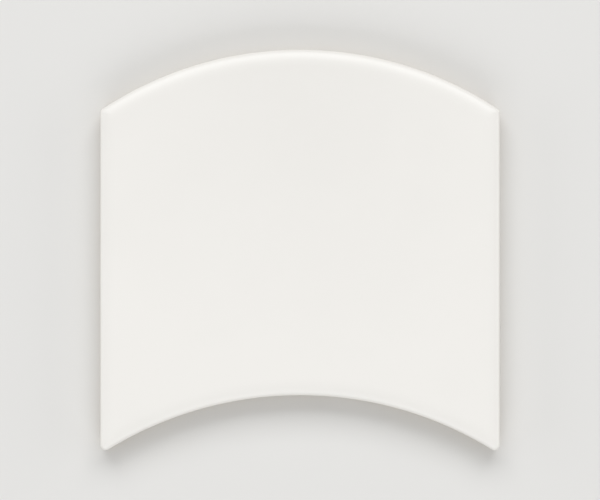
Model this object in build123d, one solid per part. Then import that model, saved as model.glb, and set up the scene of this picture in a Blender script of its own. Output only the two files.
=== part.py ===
from build123d import *
from math import atan2, degrees, floor, sqrt
import os

# Wave wall tile: one pressed, glazed and fired piece with a convex crown, a concave cove
# and two straight sides. The crown of one tile nests in the cove of the next.
# It lies on its back. +Z is the glazed face, +Y points to the crown, and the origin is the
# middle of the back, halfway between crown and cove on the centreline.

# Outline seen from the face, in millimetres
tile_width = 100.0
crown_to_cove = 86.5
crown_radius = 90.0
joint_width = 1.6
shoulder_radius = 1.2
horn_radius = 1.3

# Section through an edge
tile_thickness = 8.0
cushion_width = 4.2
cushion_drop = 1.5
back_arris = 0.5

# Keying grooves pressed into the back
groove_width = 4.5
groove_pitch = 9.0
groove_depth = 0.8
groove_draft = 25.0
groove_border = 5.0

# The cove keeps one even joint round the crown that nests in it
cove_radius = crown_radius + joint_width
crown_apex = crown_to_cove / 2
cove_apex = -crown_to_cove / 2
crown_centre = crown_apex - crown_radius
cove_centre = cove_apex - cove_radius
half_width = tile_width / 2


def arc_rise(radius, x):
    """Height of an arc above its centre, at the distance x from the centreline."""
    return sqrt(max(radius**2 - x**2, 0))


def plan_outline():
    """Face of the tile in plan: two straight sides, crown, cove and four rounded corners."""
    shoulder_y = crown_centre + arc_rise(crown_radius, half_width)
    horn_y = cove_centre + arc_rise(cove_radius, half_width)
    crown = ThreePointArc((-half_width, shoulder_y), (0, crown_apex), (half_width, shoulder_y))
    right_side = Line((half_width, shoulder_y), (half_width, horn_y))
    cove = ThreePointArc((half_width, horn_y), (0, cove_apex), (-half_width, horn_y))
    left_side = Line((-half_width, horn_y), (-half_width, shoulder_y))
    plan = make_face([crown, right_side, cove, left_side])
    plan = fillet(plan.vertices().sort_by(Axis.Y)[-2:], shoulder_radius)
    return fillet(plan.vertices().sort_by(Axis.Y)[:2], horn_radius)


def cushion_waste(edge, inward, reach):
    """Section of what the cushion takes off an edge at the distance edge from the axis.

    inward is the sign of the way into the tile, and reach is how far the waste goes that way.
    """
    base = tile_thickness - cushion_drop
    spare = cushion_width
    block = Rectangle(reach + spare, cushion_drop + spare, align=(Align.CENTER, Align.MIN))
    block = Pos(edge + inward * (reach - spare) / 2, base) * block
    cushion = Pos(edge + inward * cushion_width, base) * Ellipse(cushion_width, cushion_drop)
    return Plane.XZ * (block - cushion)


def turned_waste(edge, inward, reach, x, y, start, sweep):
    """Cushion waste turned about the upright axis through x, y, from one angle over a sweep."""
    waste = revolve(cushion_waste(edge, inward, reach), Axis.Z, sweep)
    return Pos(x, y) * Rot(Z=start) * waste


def corner_waste(radius, y, start, sweep):
    """Cushion waste of a right-hand corner, turned about the centre of its rounding."""
    return turned_waste(radius, -1, min(radius, cushion_width), half_width - radius, y, start, sweep)


def edge_wastes():
    """All that the cushion takes off: sides, crown, cove and the four corners."""
    half_turn = 180
    crown = turned_waste(crown_radius, -1, cushion_width, 0, crown_centre, 0, half_turn)
    cove = turned_waste(cove_radius, 1, cushion_width, 0, cove_centre, 0, half_turn)

    side_reach = crown_apex - cove_centre
    side = Pos(0, side_reach) * extrude(cushion_waste(half_width, -1, cushion_width), 2 * side_reach)

    shoulder_x = half_width - shoulder_radius
    shoulder_rise = arc_rise(crown_radius - shoulder_radius, shoulder_x)
    shoulder_turn = degrees(atan2(shoulder_rise, shoulder_x))
    shoulder = corner_waste(shoulder_radius, crown_centre + shoulder_rise, 0, shoulder_turn)

    horn_x = half_width - horn_radius
    horn_rise = arc_rise(cove_radius + horn_radius, horn_x)
    horn_turn = half_turn - degrees(atan2(horn_rise, horn_x))
    horn = corner_waste(horn_radius, cove_centre + horn_rise, -horn_turn, horn_turn)

    right_hand = [side, shoulder, horn]
    return [crown, cove] + right_hand + [mirror(waste, Plane.YZ) for waste in right_hand]


def keying_grooves():
    """Round-ended grooves across the back, as long as the border allows, and split by the cove."""
    rows = floor(tile_width / groove_pitch)
    grooves = []
    for row in range(-rows, rows):
        y = (row + 0.5) * groove_pitch
        top, bottom = y + groove_width / 2, y - groove_width / 2
        outer = min(half_width - groove_border, arc_rise(crown_radius - groove_border, top - crown_centre))
        inner = arc_rise(cove_radius + groove_border, bottom - cove_centre)
        spans = [(-outer, outer)] if inner == 0 else [(-outer, -inner), (inner, outer)]
        for left, right in spans:
            if right - left > 2 * groove_width:
                slot = Pos((left + right) / 2, y) * SlotOverall(right - left, groove_width)
                grooves.append(extrude(slot, groove_depth, taper=groove_draft))
    return grooves


blank = extrude(plan_outline(), tile_thickness)
blank = chamfer(blank.faces().sort_by(Axis.Z)[0].edges(), back_arris)
wave_tile = blank - edge_wastes() - keying_grooves()

os.makedirs("parts", exist_ok=True)
export_step(wave_tile, "parts/wave_tile.step")
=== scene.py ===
import math

import bmesh
import bpy
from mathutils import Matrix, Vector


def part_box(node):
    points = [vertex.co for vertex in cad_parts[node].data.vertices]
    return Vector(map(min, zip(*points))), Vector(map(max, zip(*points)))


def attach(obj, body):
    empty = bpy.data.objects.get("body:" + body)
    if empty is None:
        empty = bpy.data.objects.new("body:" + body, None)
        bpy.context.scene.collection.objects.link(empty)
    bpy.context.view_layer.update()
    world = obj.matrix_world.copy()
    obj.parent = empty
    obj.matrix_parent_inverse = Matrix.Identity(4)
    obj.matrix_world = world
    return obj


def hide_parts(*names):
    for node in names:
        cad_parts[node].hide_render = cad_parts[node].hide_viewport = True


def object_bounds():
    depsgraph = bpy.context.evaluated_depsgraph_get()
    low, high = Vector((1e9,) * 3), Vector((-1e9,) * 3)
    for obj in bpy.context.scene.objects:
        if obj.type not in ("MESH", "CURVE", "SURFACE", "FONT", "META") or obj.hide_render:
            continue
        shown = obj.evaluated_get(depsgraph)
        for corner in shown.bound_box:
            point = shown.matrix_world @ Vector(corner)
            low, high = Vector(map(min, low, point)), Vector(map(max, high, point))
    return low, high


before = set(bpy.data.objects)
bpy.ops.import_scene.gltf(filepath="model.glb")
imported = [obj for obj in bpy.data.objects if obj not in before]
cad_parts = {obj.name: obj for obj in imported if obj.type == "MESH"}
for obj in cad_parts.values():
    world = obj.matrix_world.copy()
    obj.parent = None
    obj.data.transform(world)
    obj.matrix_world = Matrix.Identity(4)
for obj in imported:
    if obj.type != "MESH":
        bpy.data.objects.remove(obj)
cad_low, cad_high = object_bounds()

# Tile: one plate of pale clay, pressed with a curved outline, an edge that rolls over all round
# its face and grooves in its back. It was dipped face down in white glaze and fired, so the glaze
# covers the face and runs part of the way down the sides, and the rest is bare fired clay.
half_width, crown_apex, face_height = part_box("wave_tile")[1]
crown_to_cove = 0.0865
crown_radius = 0.0900
joint_width = 0.0016
corner_radius = 0.0013
cove_radius = crown_radius + joint_width
crown_centre = crown_apex - crown_radius
cove_centre = crown_apex - crown_to_cove - cove_radius

arc_steps = 132
side_steps = 110
corner_steps = 10
quarter_turn = math.pi / 2
hair = 0.00001


def new_mesh(name):
    """An empty mesh at the origin, open in edit mode."""
    bpy.ops.object.select_all(action="DESELECT")
    bpy.ops.mesh.primitive_plane_add(size=corner_radius)
    piece = bpy.context.object
    piece.name = piece.data.name = name
    bpy.ops.object.mode_set(mode="EDIT")
    bpy.ops.mesh.delete(type="VERT")
    return piece


def pick(kind, test):
    """Selects the faces, edges or points in edit mode that pass a test, and nothing else."""
    bpy.ops.mesh.select_mode(type=kind)
    bpy.ops.mesh.select_all(action="DESELECT")
    mesh = bpy.context.edit_object.data
    sheet = bmesh.from_edit_mesh(mesh)
    for item in {"FACE": sheet.faces, "EDGE": sheet.edges, "VERT": sheet.verts}[kind]:
        if test(item):
            item.select_set(True)
    sheet.select_flush_mode()
    bmesh.update_edit_mesh(mesh)


def move(x=0, y=0, z=0):
    """Moves what is selected."""
    bpy.ops.transform.translate(value=(x, y, z))


def pen_at(x, y, z):
    """Puts down the first point of an outline."""
    bpy.ops.mesh.select_mode(type="VERT")
    bpy.ops.mesh.select_all(action="DESELECT")
    bpy.ops.mesh.primitive_plane_add(size=corner_radius)
    bpy.ops.mesh.merge(type="CENTER")
    move(x, y, z)


def carry_round(x, y, turn, steps):
    """Draws the outline on round a centre; a positive turn goes clockwise."""
    bpy.ops.mesh.spin(steps=steps, angle=turn, center=(x, y, 0), axis=(0, 0, 1))


def carry_straight(length, steps):
    """Draws the outline on along a straight side."""
    for _ in range(steps):
        bpy.ops.mesh.extrude_region_move(TRANSFORM_OT_translate={"value": (0, length / steps, 0)})


def draw_outline(z, inset, rounding):
    """Draws the outline clockwise from the left end of the crown, with sharp or rounded corners."""
    crown, cove = crown_radius - inset - rounding, cove_radius + inset + rounding
    corner_x = half_width - inset - rounding
    crown_tilt, cove_tilt = math.asin(corner_x / crown), math.asin(corner_x / cove)
    shoulder_y = crown_centre + crown * math.cos(crown_tilt)
    horn_y = cove_centre + cove * math.cos(cove_tilt)

    def turn_corner(x, y, turn):
        if rounding:
            carry_round(x, y, turn, corner_steps)

    pen_at(-corner_x - rounding * math.sin(crown_tilt), shoulder_y + rounding * math.cos(crown_tilt), z)
    carry_round(0, crown_centre, 2 * crown_tilt, arc_steps)
    turn_corner(corner_x, shoulder_y, quarter_turn - crown_tilt)
    carry_straight(horn_y - shoulder_y, side_steps)
    turn_corner(corner_x, horn_y, quarter_turn + cove_tilt)
    carry_round(0, cove_centre, -2 * cove_tilt, arc_steps)
    turn_corner(-corner_x, horn_y, quarter_turn + cove_tilt)
    carry_straight(shoulder_y - horn_y, side_steps)
    turn_corner(-corner_x, shoulder_y, quarter_turn - crown_tilt)
    pick("VERT", lambda point: abs(point.co.z - z) < hair)
    bpy.ops.mesh.remove_doubles(threshold=hair)


# Glazed side, from the glaze line up to the foot of the rolled edge
cushion_width = 0.0042
cushion_drop = 0.0015
cushion_base = face_height - cushion_drop
glaze_line = 0.0026
side_rows = 8


def raise_rows(height, rows):
    """Draws the selected face up or down into a wall of even rows."""
    for _ in range(rows):
        bpy.ops.mesh.extrude_region_move(TRANSFORM_OT_translate={"value": (0, 0, height / rows)})


tile = new_mesh("glazed_wave_tile")
draw_outline(glaze_line, 0, corner_radius)
bpy.ops.mesh.edge_face_add()
bpy.ops.mesh.select_mode(type="FACE")
raise_rows(cushion_base - glaze_line, side_rows)

# Rolled edge: rings until the rounded corners all but close up, then rows to the rim of the flat face
corner_inset = 0.99 * corner_radius
corner_merge = 0.1 * corner_radius
corner_rings = 7
cushion_rows = 11


def step_in(inset, rise):
    """Draws the selected face in by one ring and lifts it."""
    bpy.ops.mesh.inset(thickness=inset, depth=0)
    move(z=rise)


def roll_in(width, rise, turn, rings):
    """Draws the selected face in over all or part of a quarter ellipse that sets off upright."""
    for ring in range(rings):
        before, after = turn * ring / rings, turn * (ring + 1) / rings
        step_in(width * (math.cos(before) - math.cos(after)), rise * (math.sin(after) - math.sin(before)))


def cushion_height(inset):
    """Height of the rolled edge at a distance in from the outline."""
    return cushion_base + cushion_drop * math.sin(math.acos(1 - inset / cushion_width))


def is_cap(face, z):
    """Whether a face is the flat end that closes the outline at a height."""
    return len(face.verts) > arc_steps and abs(face.calc_center_median().z - z) < hair


def at_height(edge, z):
    """Whether both ends of an edge lie at a height."""
    return all(abs(point.co.z - z) < hair for point in edge.verts)


roll_in(cushion_width, cushion_drop, math.acos(1 - corner_inset / cushion_width), corner_rings)
bpy.ops.mesh.remove_doubles(threshold=corner_merge)
corner_z = cushion_height(corner_inset)
pick("FACE", lambda face: is_cap(face, corner_z))
bpy.ops.mesh.delete(type="ONLY_FACE")
draw_outline(face_height, cushion_width, 0)
pick("EDGE", lambda edge: at_height(edge, corner_z) or at_height(edge, face_height))
bpy.ops.mesh.bridge_edge_loops(number_cuts=cushion_rows - 1, interpolation="LINEAR")
# The top row is lifted first, so that no lifted row is picked again
for row in range(cushion_rows - 1, 0, -1):
    share = row / cushion_rows
    bridge_z = corner_z + (face_height - corner_z) * share
    pick("VERT", lambda point: abs(point.co.z - bridge_z) < hair)
    move(z=cushion_height(corner_inset + (cushion_width - corner_inset) * share) - bridge_z)


# Flat face: a grid between the rims of the crown and the cove
def from_crown(point):
    """Distance of a point inside the crown's arc."""
    return crown_radius - math.hypot(point.x, point.y - crown_centre)


def from_cove(point):
    """Distance of a point outside the cove's arc."""
    return math.hypot(point.x, point.y - cove_centre) - cove_radius


def on_rim(edge, distance):
    """Whether an edge of the flat face's rim runs along an arc, by the distance from that arc."""
    middle = (edge.verts[0].co + edge.verts[1].co) / 2
    return at_height(edge, face_height) and abs(distance(middle) - cushion_width) < 2 * hair


pick("EDGE", lambda edge: on_rim(edge, from_crown) or on_rim(edge, from_cove))
bpy.ops.mesh.fill_grid()

# Glaze fills the creases where two rolled edges meet at a corner
crease_foot = 0.5 * corner_radius
crease_reach = 0.0012
crease_softness = 0.5
crease_passes = 10


def in_crease(point):
    """Whether a point lies about as far in from a side as from an arc, on or near the rolled edge."""
    from_side = half_width - abs(point.co.x)
    from_arc = min(from_crown(point.co), from_cove(point.co))
    rolled = crease_foot < from_side < cushion_width + crease_reach
    return point.co.z > cushion_base and rolled and abs(from_side - from_arc) < crease_reach


pick("VERT", in_crease)
bpy.ops.mesh.vertices_smooth(factor=crease_softness, repeat=crease_passes, xaxis=False, yaxis=False)

# Lip of the glaze, bare side below it and the eased edge of the back
glaze_thickness = 0.00015
lip_height = 0.0002
lip_rings = 4
clay_rows = 4
back_arris = 0.0005
bare_top = glaze_line - lip_height


def close_mesh():
    """Turns all faces outwards and leaves edit mode."""
    bpy.ops.mesh.select_all(action="SELECT")
    bpy.ops.mesh.normals_make_consistent(inside=False)
    bpy.ops.object.mode_set(mode="OBJECT")


pick("FACE", lambda face: is_cap(face, glaze_line))
roll_in(glaze_thickness, -lip_height, quarter_turn, lip_rings)
raise_rows(back_arris - bare_top, clay_rows)
step_in(back_arris, -back_arris)
close_mesh()

# Punch that presses the grooves: round-ended ribs, as long as the border of the back allows
groove_width = 0.0045
groove_pitch = 0.0090
groove_depth = 0.0008
groove_border = 0.0050
groove_draft = math.radians(25)
groove_rim = 0.00008
groove_fillet = 0.0002
shortest_groove = 2 * groove_width
groove_rows = math.floor(2 * half_width / groove_pitch)
end_steps = 12
fillet_rings = 3


def groove_spans(y):
    """Left and right ends of the grooves in the row at y: one groove, or two beside the cove."""
    top, bottom = y + groove_width / 2, y - groove_width / 2
    crown_room = (crown_radius - groove_border) ** 2 - (top - crown_centre) ** 2
    cove_room = (cove_radius + groove_border) ** 2 - (bottom - cove_centre) ** 2
    outer = min(half_width - groove_border, math.sqrt(max(crown_room, 0)))
    inner = math.sqrt(max(cove_room, 0))
    spans = [(-outer, outer)] if inner == 0 else [(-outer, -inner), (inner, outer)]
    return [(left, right) for left, right in spans if right - left >= shortest_groove]


def add_rib(left, right, y):
    """Models one rib from below the back upwards: round ends, a soft rim, drafted walls, a soft top."""
    middle = ((left + right) / 2, y, -groove_depth)
    width, length = groove_width + 2 * groove_rim, right - left + 2 * groove_rim
    wall_height = groove_depth - groove_rim - groove_fillet
    bpy.ops.mesh.select_mode(type="VERT")
    bpy.ops.mesh.select_all(action="DESELECT")
    bpy.ops.mesh.primitive_plane_add(size=width, location=middle)
    bpy.ops.transform.resize(value=(length / width, 1, 1), center_override=middle)
    bpy.ops.mesh.bevel(offset=width / 2, segments=end_steps, affect="VERTICES")
    bpy.ops.mesh.remove_doubles(threshold=hair)
    bpy.ops.mesh.select_mode(type="FACE")
    raise_rows(groove_depth - groove_rim, 1)
    step_in(2 * groove_rim, 2 * groove_rim)
    step_in(wall_height * math.tan(groove_draft), wall_height)
    roll_in(groove_fillet, groove_fillet, quarter_turn, fillet_rings)


punch = new_mesh("groove_punch")
for row in range(-groove_rows, groove_rows):
    row_y = (row + 0.5) * groove_pitch
    for left, right in groove_spans(row_y):
        add_rib(left, right, row_y)
close_mesh()

bpy.ops.object.select_all(action="DESELECT")
tile.select_set(True)
bpy.context.view_layer.objects.active = tile
pressed = tile.modifiers.new("pressed grooves", "BOOLEAN")
pressed.object = punch
pressed.operation = "DIFFERENCE"
pressed.solver = "EXACT"
bpy.ops.object.modifier_apply(modifier=pressed.name)
bpy.data.objects.remove(punch)

glazed_slot, bare_slot = 0, 1
for face in tile.data.polygons:
    face.material_index = bare_slot if face.center.z < bare_top else glazed_slot

# Unevenness of hand work: a face that is not quite flat, and a glaze line that wanders round the sides
face_wave = 0.022
face_wave_height = 0.00007
lip_wave = 0.014
lip_wave_height = 0.0014
lip_reach = 0.0020
wave_depth = 1
only_sinks, both_ways = 1.0, 0.5
smooth_angle = math.radians(40)


def ease(share):
    """Smooth step from 0 to 1."""
    share = min(max(share, 0), 1)
    return share * share * (3 - 2 * share)


def on_face(point):
    """1 on the flat face, fading out down the rolled edge."""
    return ease((point.z - cushion_base) / cushion_drop)


def near_lip(point):
    """1 at the lip of the glaze, fading out up the side and down to the back."""
    above = 1 - ease((point.z - glaze_line) / lip_reach)
    below = ease((point.z - back_arris) / (bare_top - back_arris))
    return above * below


def unevenness(name, size, height, level, weight):
    """Lifts and sinks the tile's points by soft clouds, each as far as its place gives it weight."""
    group = tile.vertex_groups.new(name=name)
    for point in tile.data.vertices:
        group.add([point.index], weight(point.co), "REPLACE")
    clouds = bpy.data.textures.new(name, "CLOUDS")
    clouds.noise_scale = size
    clouds.noise_depth = wave_depth
    push = tile.modifiers.new(name, "DISPLACE")
    push.texture = clouds
    push.texture_coords = "LOCAL"
    push.direction = "Z"
    push.mid_level = level
    push.strength = height
    push.vertex_group = name
    bpy.ops.object.modifier_apply(modifier=push.name)


unevenness("uneven face", face_wave, face_wave_height, only_sinks, on_face)
unevenness("wandering glaze line", lip_wave, lip_wave_height, both_ways, near_lip)
tile.vertex_groups.clear()
bpy.ops.object.shade_smooth_by_angle(angle=smooth_angle)

# White satin glaze: opaque and warm, darker high on the face and lighter towards the cove and the
# sides, partly from thinner glaze and partly as painted shade, with a soft orange-peel surface
full_glaze = (0.832, 0.817, 0.785)
# The darker glaze tone, partly thinner glaze and partly painted shade, laid in a patch high on the face
# near the crown
thin_glaze_and_shade = (0.790, 0.776, 0.745)
edge_glaze = (0.800, 0.770, 0.715)
thin_and_shaded_centre = 0.038
thin_and_shaded_reach = 0.075
thin_drift = 0.12
drift_size, drift_detail = 0.017, 3
edge_share = 0.35
edge_fade = 0.6 * cushion_drop
gloss_size, gloss_detail = 0.011, 2
smoothest, roughest = 0.29, 0.34
peel_size, peel_detail = 0.0030, 1
peel_depth = 0.000004
cloud_dark, cloud_light = 0.3, 0.7
first_socket, second_socket, mixed_socket = 6, 7, 2


def new_material(name):
    """A material with its node tree, its shader and Object coordinates to work from."""
    material = bpy.data.materials.new(name)
    material.use_nodes = True
    tree = material.node_tree
    place = tree.nodes.new("ShaderNodeTexCoord").outputs["Object"]
    return material, tree, tree.nodes["Principled BSDF"], place


def spread(tree, value, low, high, start, end):
    """Maps a value from one range to another, held at the ends."""
    ranged = tree.nodes.new("ShaderNodeMapRange")
    ranged.inputs["From Min"].default_value = low
    ranged.inputs["From Max"].default_value = high
    ranged.inputs["To Min"].default_value = start
    ranged.inputs["To Max"].default_value = end
    tree.links.new(value, ranged.inputs["Value"])
    return ranged.outputs["Result"]


def clouds_over(tree, place, size, detail, start, end):
    """Soft clouds of a given size all over the surface, as a value from start to end."""
    noise = tree.nodes.new("ShaderNodeTexNoise")
    noise.inputs["Scale"].default_value = 1 / size
    noise.inputs["Detail"].default_value = detail
    tree.links.new(place, noise.inputs["Vector"])
    return spread(tree, noise.outputs["Fac"], cloud_dark, cloud_light, start, end)


def add_up(tree, first, second):
    """Adds two values."""
    total = tree.nodes.new("ShaderNodeMath")
    tree.links.new(first, total.inputs[0])
    tree.links.new(second, total.inputs[1])
    return total.outputs["Value"]


def blend_colours(tree, share, first, second):
    """Mixes two colours; each is a fixed colour or comes from another node."""
    mix = tree.nodes.new("ShaderNodeMix")
    mix.data_type = "RGBA"
    tree.links.new(share, mix.inputs["Factor"])
    for socket, colour in ((first_socket, first), (second_socket, second)):
        if isinstance(colour, tuple):
            mix.inputs[socket].default_value = (*colour, 1)
        else:
            tree.links.new(colour, mix.inputs[socket])
    return mix.outputs[mixed_socket]


def emboss(tree, shader, height, depth):
    """Raises a fine relief of a given depth where a value rises from 0 to 1."""
    bump = tree.nodes.new("ShaderNodeBump")
    bump.inputs["Distance"].default_value = depth
    tree.links.new(height, bump.inputs["Height"])
    tree.links.new(bump.outputs["Normal"], shader.inputs["Normal"])


def white_satin_glaze():
    """Glaze that is darker in one wide patch, from thinner glaze and painted shade, and turns warmer over
    the rolled edge and down the sides.
    """
    material, tree, shader, place = new_material("white satin glaze")
    patch = tree.nodes.new("ShaderNodeMapping")
    patch.inputs["Location"].default_value = (0, -thin_and_shaded_centre / thin_and_shaded_reach, -face_height / thin_and_shaded_reach)
    patch.inputs["Scale"].default_value = (1 / thin_and_shaded_reach, 1 / thin_and_shaded_reach, 1 / thin_and_shaded_reach)
    tree.links.new(place, patch.inputs["Vector"])
    # Painted shade and thinner glaze: the tone darkens towards a patch high on the face, near the crown
    thinness_and_shade = tree.nodes.new("ShaderNodeTexGradient")
    thinness_and_shade.gradient_type = "SPHERICAL"
    tree.links.new(patch.outputs["Vector"], thinness_and_shade.inputs["Vector"])
    drift = clouds_over(tree, place, drift_size, drift_detail, -thin_drift, thin_drift)
    face_tone = blend_colours(tree, add_up(tree, thinness_and_shade.outputs["Fac"], drift), full_glaze, thin_glaze_and_shade)

    height = tree.nodes.new("ShaderNodeSeparateXYZ")
    tree.links.new(place, height.inputs["Vector"])
    steep = spread(tree, height.outputs["Z"], cushion_base, cushion_base + edge_fade, edge_share, 0)
    tree.links.new(blend_colours(tree, steep, face_tone, edge_glaze), shader.inputs["Base Color"])
    gloss = clouds_over(tree, place, gloss_size, gloss_detail, smoothest, roughest)
    tree.links.new(gloss, shader.inputs["Roughness"])
    emboss(tree, shader, clouds_over(tree, place, peel_size, peel_detail, 0, 1), peel_depth)
    return material


# Bare fired clay: pale buff, dry and grainy, softly mottled, with a few rusty specks
buff_clay = (0.68, 0.60, 0.49)
light_clay = (0.79, 0.72, 0.62)
rusty_speck = (0.45, 0.34, 0.24)
mottle_size, mottle_detail = 0.009, 4
mottle_share = 0.55
grain_size, grain_detail = 0.0008, 4
grain_depth = 0.00015
speck_size, speck_detail = 0.0007, 2
speck_edge, speck_heart = 0.95, 1.0
speck_strength = 0.6
dry_roughness = 0.9


def bare_fired_clay():
    """Clay whose tone follows soft mottling and its own grain."""
    material, tree, shader, place = new_material("bare fired clay")
    mottle = clouds_over(tree, place, mottle_size, mottle_detail, 0, mottle_share)
    grain = clouds_over(tree, place, grain_size, grain_detail, 0, 1)
    grain_tone = spread(tree, grain, 0, 1, 0, 1 - mottle_share)
    body = blend_colours(tree, add_up(tree, mottle, grain_tone), buff_clay, light_clay)
    specks = clouds_over(tree, place, speck_size, speck_detail, 0, 1)
    speckle = spread(tree, specks, speck_edge, speck_heart, 0, speck_strength)
    tree.links.new(blend_colours(tree, speckle, body, rusty_speck), shader.inputs["Base Color"])
    shader.inputs["Roughness"].default_value = dry_roughness
    emboss(tree, shader, grain, grain_depth)
    return material


tile.data.materials.append(white_satin_glaze())
tile.data.materials.append(bare_fired_clay())
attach(tile, "root")
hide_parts("wave_tile")

# Floor: a plain sheet of pale matt card, laid flat, that reaches past every view. The tile lies on it,
# and it stops a hair short of the tile's back.
floor_size = 6
floor_gap = 0.00002
pale_card = (0.72, 0.715, 0.70)

bpy.ops.object.select_all(action="DESELECT")
bpy.ops.mesh.primitive_plane_add(size=floor_size, location=(0, 0, -floor_gap))
floor = bpy.context.object
floor.name = floor.data.name = "floor"
bpy.ops.object.transform_apply(location=True)
card, _, card_shader, _ = new_material("pale card")
card_shader.inputs["Base Color"].default_value = (*pale_card, 1)
card_shader.inputs["Roughness"].default_value = dry_roughness
floor.data.materials.append(card)

# Light: a pale room, and four soft panels that hang round the tile and face it. The strongest hangs
# beyond the crown, so that its sheen runs along the rolled edge there.
white_room = (1, 1, 1)
room_light = 0.385
panel_distance = 2.4
panel_width = 2.8
tall_panel, slim_panel = 1.4, 0.7
low, middling, high = math.radians(20), math.radians(34), math.radians(46)
crown_radiance, cove_radiance, side_radiance = 3.45, 2.0, 1.4


def soft_panel(name, turn, elevation, tall, radiance):
    """Hangs a soft panel that faces the tile, turned about the upright axis from beyond the crown."""
    away = panel_distance * math.cos(elevation)
    spot = (-away * math.sin(turn), away * math.cos(turn), panel_distance * math.sin(elevation))
    aim = (elevation - quarter_turn, 0, turn)
    bpy.ops.object.light_add(type="AREA", location=spot, rotation=aim)
    panel = bpy.context.object
    panel.name = panel.data.name = name
    panel.data.shape = "RECTANGLE"
    panel.data.size = panel_width
    panel.data.size_y = tall
    panel.data.energy = radiance * math.pi * panel_width * tall


soft_panel("crown panel", 0, high, tall_panel, crown_radiance)
soft_panel("cove panel", math.pi, middling, tall_panel, cove_radiance)
soft_panel("left panel", quarter_turn, low, slim_panel, side_radiance)
soft_panel("right panel", -quarter_turn, low, slim_panel, side_radiance)
room = bpy.data.worlds.new("pale room")
room.use_nodes = True
room.node_tree.nodes["Background"].inputs["Color"].default_value = (*white_room, 1)
room.node_tree.nodes["Background"].inputs["Strength"].default_value = room_light
bpy.context.scene.world = room
bpy.context.scene.view_settings.view_transform = "Standard"

# Camera: straight above the middle of the face, on a long lens, so that the sides don't show. The
# crown is towards the top of the picture.
picture_width = 0.150
long_lens = 200
film_width = 36

view = bpy.data.cameras.new("camera")
view.lens = long_lens
view.sensor_width = film_width
camera = bpy.data.objects.new("camera", view)
camera.location = (0, (cad_low.y + cad_high.y) / 2, face_height + picture_width * long_lens / film_width)
bpy.context.scene.collection.objects.link(camera)
bpy.context.scene.camera = camera
